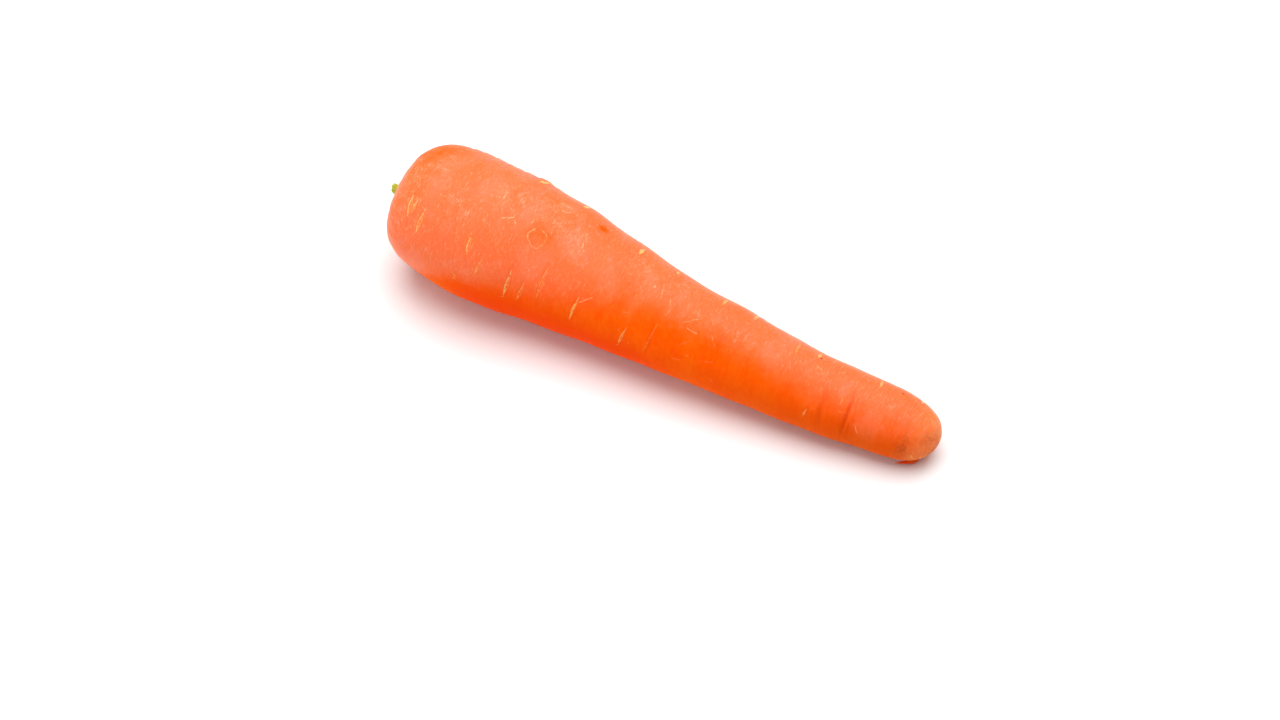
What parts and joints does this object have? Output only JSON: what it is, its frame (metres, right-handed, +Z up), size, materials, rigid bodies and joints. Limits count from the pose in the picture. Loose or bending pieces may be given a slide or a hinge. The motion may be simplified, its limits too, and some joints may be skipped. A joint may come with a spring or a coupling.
{
  "type": "carrot",
  "caption": "Whole picked carrot root with a blunt tip, a dry corky crown and short green stubs of its trimmed leaf stalks, lying on a surface.",
  "frame": {"origin": "on the surface that the carrot lies on, under the middle of its bounding box", "axes": "+X along the carrot from the crown to the tip, +Z up from the surface, +Y away from the side with the finished scar ranks"},
  "size_m": [0.1944, 0.0454, 0.0464],
  "materials": {
    "carrot_skin": "fresh orange carrot skin, satin, with pale lateral-root scars",
    "dry_crown": "dry corky olive-brown stem plate, matte",
    "green_stalk": "yellow-green cut leaf stalk, satin"
  },
  "bodies": {
    "root": {"root": "carrot_skin", "crown": "dry_crown", "leaf_stubs": "green_stalk"}
  },
  "joints": []
}
